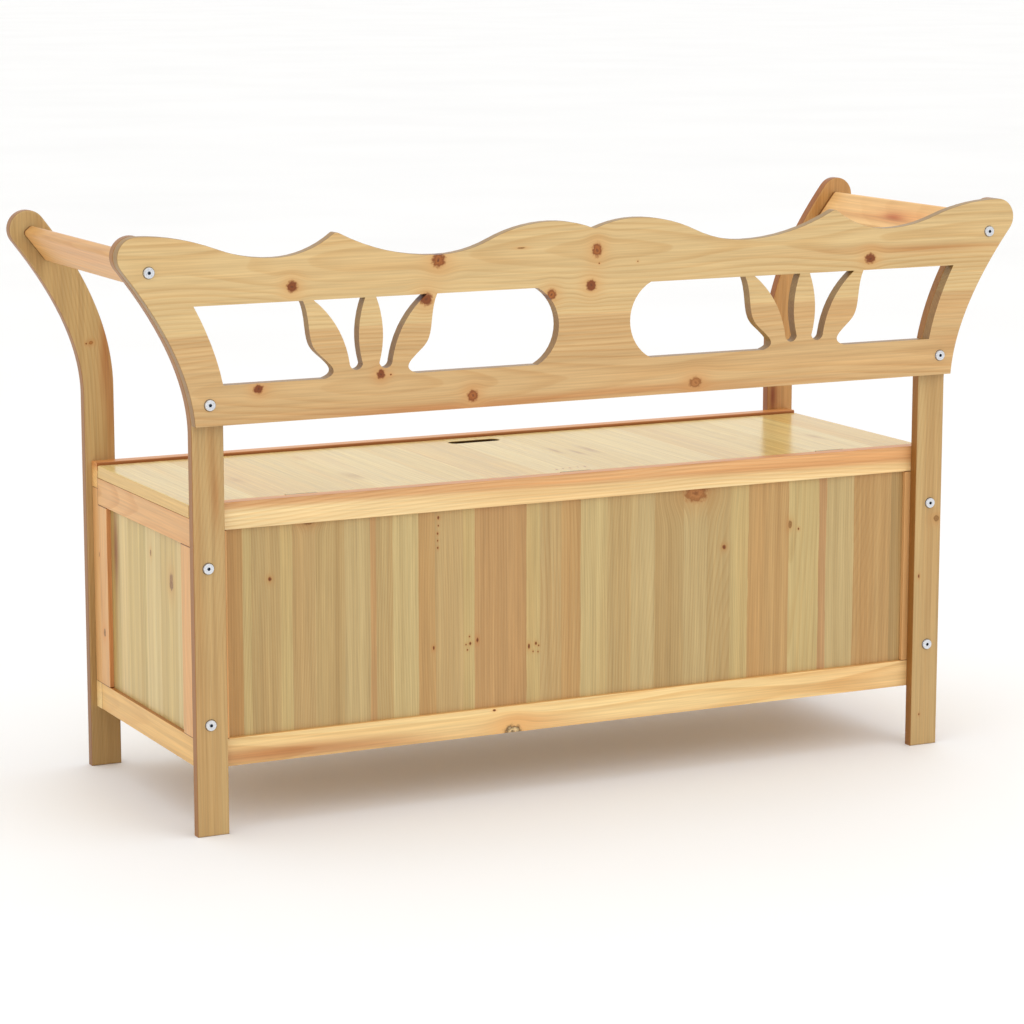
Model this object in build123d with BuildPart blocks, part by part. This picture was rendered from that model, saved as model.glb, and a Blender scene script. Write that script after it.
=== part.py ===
"""Storage bench of solid softwood: a chest with a hinged lid as the seat, four posts, two armrests and a
cut-out backrest. Millimetres, +Z up, origin on the floor under the middle, front (sitting side) towards -Y."""

import os
from math import cos, radians, sin

from build123d import *

os.makedirs("parts", exist_ok=True)

# Overall sizes
overall_width = 1260.0  # across the round heads of the posts
overall_height = 738.5  # floor to the top of the heads and of the backrest's lobes
depth_over_posts = 404.0  # front faces of the front posts to rear faces of the rear posts
leg_span = 1071.0  # across the outer edges of the straight legs

# Posts: flat boards that are straight below the seat and sweep outwards above it
post_width = 41.0
post_thickness = 15.0
outer_sweep = 243.5  # swept part of the outer edge, down from the top
inner_sweep = 233.5
head_radius = 24.5
head_lean = 52.0  # degrees between the upper end of the post and the floor
outer_low_pull = 75.0  # lengths of the curve handles of the two long edges
outer_high_pull = 70.0
inner_low_pull = 80.0
inner_high_pull = 85.0
edge_round = 2.0

# Armrests: boards on edge between the heads of the front and rear posts
armrest_width = 50.0
armrest_thickness = 16.0
armrest_corner = 5.0
armrest_drop = 23.0  # centre of the armrest's section below the centre of the head, along the post

# Backrest: one edge-glued board on the rear faces of the rear posts
back_thickness = 15.0
back_height = 229.8
back_edge_round = 1.5  # all round but the straight lower edge
bump_x = 60.0  # crest beside the middle notch
bump_drop = 3.2  # drops are measured from overall_height
notch_drop = 14.2
inner_valley_x = 216.0
inner_valley_drop = 37.7
peak_x = 352.0
peak_drop = 5.0
outer_valley_x = 432.0
outer_valley_drop = 32.0
lobe_share = 0.576  # share of each S-curve of the wave that bends like its crest, or like the notch
peak_share = 0.035
bump_share = 0.54
notch_share = 0.03
window_lift = 48.3  # window's bottom above the lower edge of the backrest
window_height = 96.3
window_round_x = 50.4  # nearest that an inner window comes to the middle
window_corner_x = 80.0
flower_x = 307.0  # middle of each carved flower
leaf_reach = 89.0  # top corners of the leaves, from the flower's middle
leaf_neck = ((82.0, 67.0), (75.5, 38.5), (56.0, 19.0), (50.0, 10.5))  # from the middle, above the window's bottom
leaf_foot = 61.0
slot_reach = 75.0  # top corners of the slots between the petals
slot_outer_points = ((42.7, 58.7), (28.5, 17.3))
slot_floor = 8.5  # bottom of the slots above the window's bottom
slot_inner_points = ((11.0, 15.4), (16.0, 48.0))
petal_half = 7.3  # half width of the middle petal at the top

# Chest: front and rear frames, side frames between them, panels in grooves
chest_inset = 8.5  # side of the chest inside the outer edges of the legs
chest_bottom = 81.3
chest_top = 409.5
rail_thickness = 20.0
top_rail_height = 33.5
bottom_rail_height = 35.0
side_top_rail_height = 35.0
long_stile_width = 40.0
side_stile_width = 32.0
rail_round = 2.0  # upper edges of the long rails
board_ease = 0.8  # all other long edges of rails and stiles
panel_thickness = 9.0
panel_recess = 6.0
groove_depth = 8.0
panel_edge_gap = 0.6  # room at the edges of a panel for the wood to move
panel_face_gap = 0.1
dowel_diameter = 8.0
dowel_length = 30.0
dowel_fit = 0.05  # radial
dowel_end_gap = 0.8

# Inside of the chest
cleat_width = 18.0
cleat_height = 18.0
cleat_lift = 2.0
cleat_end_gap = 2.0
floor_thickness = 9.0
floor_gap = 0.8
ledge_width = 18.0
ledge_height = 20.0

# Lid
lid_thickness = 16.5
lid_drop = 3.5  # lid's top under the tops of the front and rear rails
lid_front_gap = 3.0
lid_round = 1.5
finger_slot_length = 75.0
finger_slot_width = 21.0
finger_slot_margin = 20.0  # wood between the slot and the lid's front edge
batten_length = 900.0
batten_width = 36.0
batten_height = 16.0
batten_spacing = 150.0

# Hinges between the lid's rear edge and the rear top rail
hinge_spacing = 380.0
knuckle_length = 14.0
knuckles_per_hinge = 3
knuckle_diameter = 5.0
knuckle_gap = 0.2
pin_diameter = 2.6
pin_fit = 0.05  # radial
leaf_thickness = 1.2
leaf_clearance = 0.2  # between the closed leaves
leaf_foot_gap = 1.5  # leaf's lower edge above the lid's underside
hinge_sink = 2.2  # hinge axis below the tops of the rails
gain_clearance = 0.3  # round the knuckles, in the notches of the rail and of the lid
hinge_screw_spacing = 26.0
screw_head_diameter = 5.6
screw_diameter = 3.0
screw_length = 14.0
screw_fit = 0.05  # radial
screw_head_depth = 1.1
screw_head_angle = 49.0

# Furniture bolts
bolt_diameter = 6.0
bolt_hole_gap = 0.25  # radial
tip_gap = 1.0  # beyond the tips of bolts and screws
bolt_head_diameter = 15.0
bolt_head_height = 2.0
bolt_head_taper = 28.0
socket_width = 4.0
socket_depth = 3.0
lower_bolt_lift = 23.0  # bolts of the chest, from the nearest rails of the side frames
upper_bolt_drop = 21.3
barrel_diameter = 10.0
barrel_length = 13.0
barrel_depth = 15.0  # barrel's axis from the end of the side frame
barrel_fit = 0.05  # radial
bolt_past_barrel = 6.0
back_bolt_x = 517.5
back_bolt_lift = 25.6  # above the lower edge of the backrest
insert_diameter = 10.0
insert_length = 14.0
thread_fit = 0.05  # radial
cap_nut_sleeve_diameter = 8.0
cap_nut_sleeve_length = 11.0

# Places that follow from the sizes above
half_width = overall_width / 2
half_leg = leg_span / 2
inner_leg = half_leg - post_width
chest_half = half_leg - chest_inset
side_inside = chest_half - rail_thickness
bolt_x = chest_half - rail_thickness / 2
back_rear = (depth_over_posts + back_thickness) / 2
rear_post_rear = back_rear - back_thickness
rear_post_front = rear_post_rear - post_thickness
front_post_front = rear_post_rear - depth_over_posts
front_post_rear = front_post_front + post_thickness
rear_inside = rear_post_front - rail_thickness
front_inside = front_post_rear + rail_thickness
bottom_rail_top = chest_bottom + bottom_rail_height
top_rail_bottom = chest_top - top_rail_height
lid_top = chest_top - lid_drop
lid_bottom = lid_top - lid_thickness
side_rail_bottom = lid_bottom - side_top_rail_height
chest_bolt_low = bottom_rail_top + lower_bolt_lift
chest_bolt_high = side_rail_bottom - upper_bolt_drop
post_outer_bend = overall_height - outer_sweep
post_inner_bend = overall_height - inner_sweep
back_bottom = overall_height - back_height
back_bolt_z = back_bottom + back_bolt_lift
window_bottom = back_bottom + window_lift
window_top = window_bottom + window_height
hinge_gap = 2 * leaf_thickness + leaf_clearance
hinge_length = knuckles_per_hinge * knuckle_length
hinge_places = (-hinge_spacing, 0, hinge_spacing)
hinge_y = rear_inside - hinge_gap / 2
hinge_z = chest_top - hinge_sink
lid_rear = rear_inside - hinge_gap
lid_front = front_inside + lid_front_gap
bolt_radius = bolt_diameter / 2
bolt_hole_radius = bolt_radius + bolt_hole_gap

# The post's head: a half circle whose middle line leans outwards
lean_x = cos(radians(head_lean))
lean_z = sin(radians(head_lean))
head_x = half_width - head_radius
head_z = overall_height - head_radius
armrest_x = head_x - armrest_drop * lean_x
armrest_z = head_z - armrest_drop * lean_z
sides = (("left", -1), ("right", 1))


def at_y(y):
    """Plane across the bench at depth y; its normal points to the front."""
    return Plane.XZ.offset(-y)


def save(builder, name):
    builder.part.label = name
    export_step(builder.part, f"parts/{name}.step")


def block(x_range, y_range, z_range, mode=Mode.ADD):
    """Rectangular stick between the given limits."""
    with BuildSketch(Plane.XY.offset(z_range[0])) as section:
        with Locations(((x_range[0] + x_range[1]) / 2, (y_range[0] + y_range[1]) / 2)):
            Rectangle(x_range[1] - x_range[0], y_range[1] - y_range[0])
    extrude(section.sketch, amount=z_range[1] - z_range[0], mode=mode)


def bore(plane, points, radius, depth):
    """Round holes from a plane, against its normal."""
    with BuildSketch(plane) as mouths:
        with Locations(*points):
            Circle(radius)
    extrude(mouths.sketch, amount=-depth, mode=Mode.SUBTRACT)


outer_end = (head_x + head_radius * lean_z, head_z - head_radius * lean_x)
inner_end = (head_x - head_radius * lean_z, head_z + head_radius * lean_x)


def outer_edge(sign):
    """Outer edge of a post above the straight leg, up to the head."""
    end_x, end_z = outer_end
    return Bezier(
        (sign * half_leg, post_outer_bend),
        (sign * half_leg, post_outer_bend + outer_low_pull),
        (sign * (end_x - outer_high_pull * lean_x), end_z - outer_high_pull * lean_z),
        (sign * end_x, end_z),
        mode=Mode.PRIVATE,
    )


def inner_edge(sign):
    """Inner edge of a post from the straight leg up to the head."""
    end_x, end_z = inner_end
    return Bezier(
        (sign * inner_leg, post_inner_bend),
        (sign * inner_leg, post_inner_bend + inner_low_pull),
        (sign * (end_x - inner_high_pull * lean_x), end_z - inner_high_pull * lean_z),
        (sign * end_x, end_z),
        mode=Mode.PRIVATE,
    )


def post_outline(sign):
    """Face of one post."""
    tip = (sign * (head_x + head_radius * lean_x), head_z + head_radius * lean_z)
    foot = ((sign * inner_leg, post_inner_bend), (sign * inner_leg, 0), (sign * half_leg, 0))
    with BuildLine() as outline:
        add(outer_edge(sign))
        ThreePointArc((sign * outer_end[0], outer_end[1]), tip, (sign * inner_end[0], inner_end[1]))
        add(inner_edge(sign))
        Polyline(*foot, (sign * half_leg, post_outer_bend))
    make_face(outline.edges())


def s_curve(start, end, share):
    """Two arcs from one level place to another; share is the first arc's part of the way."""
    run, rise = end[0] - start[0], end[1] - start[1]
    turn = (start[0] + share * run, start[1] + share * rise)
    TangentArc(start, turn, tangent=(run, 0))
    TangentArc(end, turn, tangent=(-run, 0))


def back_half_outline(sign):
    """Edge of one half of the backrest, from the leg up over the lobe to the notch in the middle."""
    lobe = (sign * head_x, overall_height)
    outer_valley = (sign * outer_valley_x, overall_height - outer_valley_drop)
    peak = (sign * peak_x, overall_height - peak_drop)
    inner_valley = (sign * inner_valley_x, overall_height - inner_valley_drop)
    bump = (sign * bump_x, overall_height - bump_drop)
    notch = (0, overall_height - notch_drop)
    end = outer_edge(sign).split(Plane.XZ.offset(-back_bottom), keep=Keep.BOTTOM)
    with BuildLine() as half:
        add(end)
        ThreePointArc((sign * outer_end[0], outer_end[1]), (sign * half_width, head_z), lobe)
        s_curve(lobe, outer_valley, lobe_share)
        s_curve(peak, outer_valley, peak_share)
        s_curve(peak, inner_valley, peak_share)
        s_curve(bump, inner_valley, bump_share)
        s_curve(notch, bump, notch_share)
    return half.edges(), tuple(end.vertices().sort_by(Axis.Y)[0])


def leaf_edge(sign, turn):
    """Outer edge of a leaf of the carved flower, from the window's top round the neck to its foot."""
    points = ((leaf_reach, window_height), *leaf_neck, (leaf_foot, 0))
    Spline(*[(sign * (flower_x + turn * x), window_bottom + z) for x, z in points])


def windows(sign):
    """Window beside the post, window beside the middle and the two slots of the flower between them."""
    middle = sign * flower_x
    beside_post = inner_edge(sign).split(Plane.XZ.offset(-window_bottom), keep=Keep.BOTTOM)
    beside_post = beside_post.split(Plane.XZ.offset(-window_top), keep=Keep.TOP)
    low_corner, high_corner = [tuple(end) for end in beside_post.vertices().sort_by(Axis.Y)]
    with BuildLine() as outer_window:
        leaf_edge(sign, 1)
        Line((middle + sign * leaf_foot, window_bottom), low_corner)
        add(beside_post)
        Line(high_corner, (middle + sign * leaf_reach, window_top))
    make_face(outer_window.edges())
    with BuildLine() as inner_window:
        leaf_edge(sign, -1)
        Line((middle - sign * leaf_foot, window_bottom), (sign * window_corner_x, window_bottom))
        ThreePointArc(
            (sign * window_corner_x, window_bottom),
            (sign * window_round_x, window_bottom + window_height / 2),
            (sign * window_corner_x, window_top),
        )
        Line((sign * window_corner_x, window_top), (middle - sign * leaf_reach, window_top))
    make_face(inner_window.edges())
    for turn in (-1, 1):
        outer = ((slot_reach, window_height), *slot_outer_points)
        inner = (*slot_inner_points, (petal_half, window_height))
        outer_points = [(middle + turn * x, window_bottom + z) for x, z in outer]
        inner_points = [(middle + turn * x, window_bottom + z) for x, z in inner]
        low_x = (outer_points[-1][0] + inner_points[0][0]) / 2
        with BuildLine() as slot:
            Spline(*outer_points)
            ThreePointArc(outer_points[-1], (low_x, window_bottom + slot_floor), inner_points[0])
            Spline(*inner_points)
            Line(inner_points[-1], outer_points[0])
        make_face(slot.edges())


def make_post(name, sign, rear_y, back_bolt):
    """One post with its bolt holes; back_bolt adds the hole for the backrest's lower bolt."""
    with BuildPart() as post:
        with BuildSketch(at_y(rear_y)):
            post_outline(sign)
        extrude(amount=post_thickness)
        fillet(post.faces().filter_by(Axis.Y).edges(), edge_round)
        holes = [(sign * bolt_x, chest_bolt_low), (sign * bolt_x, chest_bolt_high)]
        holes.append((sign * armrest_x, armrest_z))
        bore(at_y(rear_y - post_thickness), holes, bolt_hole_radius, post_thickness)
        if back_bolt:
            sleeve_hole = cap_nut_sleeve_diameter / 2 + bolt_hole_gap
            lower = [(sign * back_bolt_x, back_bolt_z)]
            bore(at_y(rear_y - post_thickness), lower, sleeve_hole, post_thickness)
    save(post, name)


def make_armrest(name, sign):
    """Board between the heads of a front and a rear post, with an insert nut's seat in each end."""
    length = rear_post_front - front_post_rear
    with BuildPart() as armrest:
        with BuildSketch(at_y(rear_post_front)):
            with Locations((sign * armrest_x, armrest_z)):
                RectangleRounded(armrest_width, armrest_thickness, armrest_corner, rotation=sign * head_lean)
        extrude(amount=length)
        seat = insert_diameter / 2 + barrel_fit
        for end, inward in ((rear_post_front, -1), (front_post_rear, 1)):
            mouth = Plane(origin=(sign * armrest_x, end, armrest_z), z_dir=(0, -inward, 0))
            bore(mouth, [(0, 0)], seat, insert_length)
            bore(mouth.offset(-insert_length), [(0, 0)], bolt_hole_radius, 2 * tip_gap)
    save(armrest, name)


def make_backrest():
    """Wavy board with two windows and a carved flower in each half."""
    with BuildSketch() as outline:
        (left_edges, left_corner), (right_edges, right_corner) = [back_half_outline(sign) for _, sign in sides]
        bottom = Line(left_corner, right_corner, mode=Mode.PRIVATE)
        make_face(left_edges + right_edges + [bottom])
    with BuildSketch() as openings:
        for _, sign in sides:
            windows(sign)
    with BuildPart() as board:
        with BuildSketch(at_y(back_rear)):
            add(outline.sketch)
        extrude(amount=back_thickness)
        curved = board.faces().filter_by(Axis.Y).edges().filter_by(GeomType.LINE, reverse=True)
        fillet(curved, back_edge_round)
        with BuildSketch(at_y(back_rear)):
            add(openings.sketch)
        extrude(amount=back_thickness, mode=Mode.SUBTRACT)
        holes = [(sign * armrest_x, armrest_z) for _, sign in sides]
        holes += [(sign * back_bolt_x, back_bolt_z) for _, sign in sides]
        bore(at_y(back_rear - back_thickness), holes, bolt_hole_radius, back_thickness)
    save(board, "backrest_board")


def dowel_bores(places, end_z, depth_up):
    """Dowel holes in an end or an edge at height end_z; depth_up is 1 for holes that go upwards."""
    plane = Plane(origin=(0, 0, end_z), x_dir=(1, 0, 0), z_dir=(0, 0, -depth_up))
    points = [(x, -depth_up * y) for x, y in places]
    bore(plane, points, dowel_diameter / 2 + dowel_fit, dowel_length / 2 + dowel_end_gap)


def frame_levels(long_frame):
    """Heights of the upper rail's bottom and top in a long or a side frame."""
    if long_frame:
        return top_rail_bottom, chest_top
    return side_rail_bottom, lid_bottom


def make_long_frame(name, outside, inside):
    """Front or rear frame: rails over the full width, stiles between them and a recessed panel."""
    out = 1 if outside > inside else -1
    depth = (min(outside, inside), max(outside, inside))
    panel_near = outside - out * panel_recess
    panel_far = panel_near - out * panel_thickness
    panel_depth = (min(panel_near, panel_far), max(panel_near, panel_far))
    groove = (panel_depth[0] - panel_face_gap, panel_depth[1] + panel_face_gap)
    stile_in = chest_half - long_stile_width
    groove_half = stile_in + groove_depth
    dowel_x = (groove_half + chest_half) / 2
    middle = (outside + inside) / 2
    dowels = [(-dowel_x, middle), (dowel_x, middle)]
    full = (-chest_half, chest_half)
    low, high = frame_levels(True)

    with BuildPart() as top_rail:
        block(full, depth, (low, high))
        levels = top_rail.edges().filter_by(Axis.X).group_by(Axis.Z)
        fillet(levels[-1], rail_round)
        fillet(levels[0], board_ease)
        block((-groove_half, groove_half), groove, (low, low + groove_depth), Mode.SUBTRACT)
        dowel_bores(dowels, low, 1)
        if name == "rear":
            hinge_gains(rear_inside, 1)
            hinge_screw_bores(rear_inside, -1)
    save(top_rail, f"{name}_top_rail")

    with BuildPart() as bottom_rail:
        block(full, depth, (chest_bottom, bottom_rail_top))
        fillet(bottom_rail.edges().filter_by(Axis.X), board_ease)
        groove_floor = bottom_rail_top - groove_depth
        block((-groove_half, groove_half), groove, (groove_floor, bottom_rail_top), Mode.SUBTRACT)
        dowel_bores(dowels, bottom_rail_top, -1)
    save(bottom_rail, f"{name}_bottom_rail")

    for side, sign in sides:
        with BuildPart() as stile:
            width = sorted((sign * stile_in, sign * chest_half))
            block(width, depth, (bottom_rail_top, low))
            fillet(stile.edges().filter_by(Axis.Z), board_ease)
            cut = sorted((sign * stile_in, sign * groove_half))
            block(cut, groove, (bottom_rail_top, low), Mode.SUBTRACT)
            place = [(sign * dowel_x, middle)]
            dowel_bores(place, bottom_rail_top, 1)
            dowel_bores(place, low, -1)
            holes = [(sign * bolt_x, chest_bolt_low), (sign * bolt_x, chest_bolt_high)]
            bore(at_y(depth[0]), holes, bolt_hole_radius, rail_thickness)
        save(stile, f"{name}_stile_{side}")

    with BuildPart() as panel:
        half = groove_half - panel_edge_gap
        block((-half, half), panel_depth, (groove_floor, low + groove_depth - panel_edge_gap))
    save(panel, f"{name}_panel")
    return [(sign * dowel_x, middle, level) for _, sign in sides for level in (bottom_rail_top, low)]


def make_side_frame(side, sign):
    """Side frame between the front and rear frames; the lid lies on its upper rail."""
    width = sorted((sign * side_inside, sign * chest_half))
    panel_out = chest_half - panel_recess
    panel_width = sorted((sign * (panel_out - panel_thickness), sign * panel_out))
    groove = (panel_width[0] - panel_face_gap, panel_width[1] + panel_face_gap)
    stile_front = front_inside + side_stile_width
    stile_rear = rear_inside - side_stile_width
    groove_depths = (stile_front - groove_depth, stile_rear + groove_depth)
    dowel_ys = ((front_inside + groove_depths[0]) / 2, (rear_inside + groove_depths[1]) / 2)
    dowels = [(sign * bolt_x, y) for y in dowel_ys]
    full = (front_inside, rear_inside)
    low, high = frame_levels(False)

    with BuildPart() as top_rail:
        block(width, full, (low, high))
        fillet(top_rail.edges().filter_by(Axis.Y), board_ease)
        block(groove, groove_depths, (low, low + groove_depth), Mode.SUBTRACT)
        dowel_bores(dowels, low, 1)
    save(top_rail, f"{side}_top_rail")

    with BuildPart() as bottom_rail:
        block(width, full, (chest_bottom, bottom_rail_top))
        fillet(bottom_rail.edges().filter_by(Axis.Y), board_ease)
        groove_floor = bottom_rail_top - groove_depth
        block(groove, groove_depths, (groove_floor, bottom_rail_top), Mode.SUBTRACT)
        dowel_bores(dowels, bottom_rail_top, -1)
    save(bottom_rail, f"{side}_bottom_rail")

    ends = (("front", front_inside, stile_front, 1), ("rear", rear_inside, stile_rear, -1))
    for end, outer_y, inner_y, inward in ends:
        with BuildPart() as stile:
            block(width, sorted((outer_y, inner_y)), (bottom_rail_top, low))
            fillet(stile.edges().filter_by(Axis.Z), board_ease)
            cut = sorted((inner_y, inner_y - inward * groove_depth))
            block(groove, cut, (bottom_rail_top, low), Mode.SUBTRACT)
            place = [(sign * bolt_x, dowel_ys[0] if inward > 0 else dowel_ys[1])]
            dowel_bores(place, bottom_rail_top, 1)
            dowel_bores(place, low, -1)
            barrel_y = outer_y + inward * barrel_depth
            reach = barrel_depth + bolt_past_barrel + tip_gap
            for level in (chest_bolt_low, chest_bolt_high):
                mouth = Plane(origin=(sign * bolt_x, outer_y, level), z_dir=(0, -inward, 0))
                bore(mouth, [(0, 0)], bolt_hole_radius, reach)
                seat = Plane(origin=(sign * side_inside, barrel_y, level), z_dir=(-sign, 0, 0))
                seat_depth = bolt_x - side_inside + barrel_length / 2
                bore(seat, [(0, 0)], barrel_diameter / 2 + barrel_fit, seat_depth)
        save(stile, f"{side}_stile_{end}")

    with BuildPart() as panel:
        length = (groove_depths[0] + panel_edge_gap, groove_depths[1] - panel_edge_gap)
        block(panel_width, length, (groove_floor, low + groove_depth - panel_edge_gap))
    save(panel, f"{side}_panel")
    return [(sign * bolt_x, y, level) for y in dowel_ys for level in (bottom_rail_top, low)]


def make_dowels(places):
    """Wooden dowels across every joint between a rail and a stile."""
    with BuildPart() as dowels:
        for level in sorted({z for _, _, z in places}):
            with BuildSketch(Plane.XY.offset(level)):
                with Locations(*[(x, y) for x, y, z in places if z == level]):
                    Circle(dowel_diameter / 2)
            extrude(amount=dowel_length / 2, both=True)
    save(dowels, "frame_dowels")


def make_inside():
    """Floor on its two cleats, and the two ledges that carry the lid along the rails."""
    half = side_inside - cleat_end_gap
    cleat_z = (chest_bottom + cleat_lift, chest_bottom + cleat_lift + cleat_height)
    ledge_z = (lid_bottom - ledge_height, lid_bottom)
    strips = (
        ("floor_cleat_front", (front_inside, front_inside + cleat_width), cleat_z),
        ("floor_cleat_rear", (rear_inside - cleat_width, rear_inside), cleat_z),
        ("lid_ledge_front", (front_inside, front_inside + ledge_width), ledge_z),
        ("lid_ledge_rear", (rear_inside - ledge_width, rear_inside), ledge_z),
    )
    for name, depth, height in strips:
        with BuildPart() as strip:
            block((-half, half), depth, height)
        save(strip, name)
    with BuildPart() as floor:
        reach = side_inside - floor_gap
        depth = (front_inside + floor_gap, rear_inside - floor_gap)
        block((-reach, reach), depth, (cleat_z[1], cleat_z[1] + floor_thickness))
    save(floor, "chest_floor")


def hinge_screw_places():
    """Places along the rear seam of all hinge screws of one row of leaves."""
    offsets = (-hinge_screw_spacing / 2, hinge_screw_spacing / 2)
    return [middle + offset for middle in hinge_places for offset in offsets]


def hinge_screw_plane(face_y, facing):
    """Plane on a leaf's bare face, halfway up the lid's edge; facing is the face's direction along Y."""
    return Plane(origin=(0, face_y, (lid_top + lid_bottom) / 2), x_dir=(1, 0, 0), z_dir=(0, facing, 0))


def hinge_screw_bores(wood_y, facing):
    """Pilot holes behind the leaves, in the rail or in the lid."""
    points = [(x, 0) for x in hinge_screw_places()]
    depth = screw_length - leaf_thickness + tip_gap
    bore(hinge_screw_plane(wood_y, facing), points, screw_diameter / 2 + screw_fit, depth)


def hinge_gains(wood_y, into):
    """Notches for the knuckles in the upper edge of the rail or of the lid; into points into the wood."""
    room = knuckle_diameter / 2 + gain_clearance
    half = hinge_length / 2 + gain_clearance
    depth = sorted((wood_y, hinge_y + into * room))
    for middle in hinge_places:
        block((middle - half, middle + half), depth, (hinge_z - room, hinge_z + room), Mode.SUBTRACT)


def make_leaves(name, knuckles, leaf_y, facing):
    """Leaves of the three hinges on one side of the seam, with the knuckles rolled round the pin."""
    low = lid_bottom + leaf_foot_gap
    bare = leaf_y[1] if facing > 0 else leaf_y[0]
    step = knuckle_length
    with BuildPart() as leaves:
        for middle in hinge_places:
            plate_top = hinge_z - knuckle_diameter / 2 - knuckle_gap
            block((middle - hinge_length / 2, middle + hinge_length / 2), leaf_y, (low, plate_top))
            for index in knuckles:
                span = (middle + index * step - step / 2 + knuckle_gap / 2,
                        middle + index * step + step / 2 - knuckle_gap / 2)
                block(span, leaf_y, (plate_top, hinge_z))
                with BuildSketch(Plane.YZ.offset(span[0])):
                    with Locations((hinge_y, hinge_z)):
                        Circle(knuckle_diameter / 2)
                extrude(amount=span[1] - span[0])
                with BuildSketch(Plane.YZ.offset(span[0])):
                    with Locations((hinge_y, hinge_z)):
                        Circle(pin_diameter / 2 + pin_fit)
                extrude(amount=span[1] - span[0], mode=Mode.SUBTRACT)
        places = [(x, 0) for x in hinge_screw_places()]
        with BuildSketch(hinge_screw_plane(bare, facing)):
            with Locations(*places):
                Circle(screw_head_diameter / 2 + screw_fit)
        extrude(amount=-leaf_thickness, taper=screw_head_angle, mode=Mode.SUBTRACT)
        bore(hinge_screw_plane(bare, facing), places, screw_diameter / 2 + screw_fit, leaf_thickness)
    save(leaves, name)


def make_hinge_screws(name, bare, facing):
    """Countersunk screws of one row of leaves, flush with the leaves' bare faces."""
    places = [(x, 0) for x in hinge_screw_places()]
    with BuildPart() as screws:
        with BuildSketch(hinge_screw_plane(bare, facing)):
            with Locations(*places):
                Circle(screw_head_diameter / 2)
        extrude(amount=-screw_head_depth, taper=screw_head_angle)
        with BuildSketch(hinge_screw_plane(bare, facing)):
            with Locations(*places):
                Circle(screw_diameter / 2)
        extrude(amount=-screw_length)
    save(screws, name)


def make_hinge_pins():
    """One pin through the knuckles of each hinge."""
    with BuildPart() as pins:
        for middle in hinge_places:
            with BuildSketch(Plane.YZ.offset(middle - hinge_length / 2)):
                with Locations((hinge_y, hinge_z)):
                    Circle(pin_diameter / 2)
            extrude(amount=hinge_length)
    save(pins, "hinge_pins")


def make_lid():
    """Edge-glued slab with a finger slot, and two battens across its boards on the underside."""
    middle_y = (lid_front + lid_rear) / 2
    slot_y = lid_front + finger_slot_margin + finger_slot_width / 2
    with BuildPart() as lid:
        with BuildSketch(Plane.XY.offset(lid_bottom)):
            with Locations((0, middle_y)):
                Rectangle(2 * chest_half, lid_rear - lid_front)
            with Locations((0, slot_y)):
                SlotOverall(finger_slot_length, finger_slot_width, mode=Mode.SUBTRACT)
        extrude(amount=lid_thickness)
        fillet(lid.faces().filter_by(Axis.Z).edges(), lid_round)
        hinge_gains(lid_rear, -1)
        hinge_screw_bores(lid_rear, 1)
    save(lid, "lid_panel")
    for name, shift in (("lid_batten_front", -batten_spacing / 2), ("lid_batten_rear", batten_spacing / 2)):
        with BuildPart() as batten:
            depth = (middle_y + shift - batten_width / 2, middle_y + shift + batten_width / 2)
            block((-batten_length / 2, batten_length / 2), depth, (lid_bottom - batten_height, lid_bottom))
        save(batten, name)


def make_bolts(name, places, seat_y, out, length):
    """Flat-headed bolts with hexagon sockets; heads lie on the face at seat_y and look along out."""
    with BuildPart() as bolts:
        add_bolts(places, seat_y, out, length)
    save(bolts, name)


def add_bolts(places, seat_y, out, length):
    """Heads, shanks and sockets of a row of bolts, in the piece that is being built."""
    seat = Plane(origin=(0, seat_y, 0), x_dir=(-out, 0, 0), z_dir=(0, out, 0))
    points = [(-out * x, z) for x, z in places]
    with BuildSketch(seat) as heads:
        with Locations(*points):
            Circle(bolt_head_diameter / 2)
    extrude(heads.sketch, amount=bolt_head_height, taper=bolt_head_taper)
    with BuildSketch(seat) as shanks:
        with Locations(*points):
            Circle(bolt_radius)
    extrude(shanks.sketch, amount=-length)
    with BuildSketch(seat.offset(bolt_head_height)) as sockets:
        with Locations(*points):
            RegularPolygon(socket_width / 2, 6, major_radius=False)
    extrude(sockets.sketch, amount=-socket_depth, mode=Mode.SUBTRACT)


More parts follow.
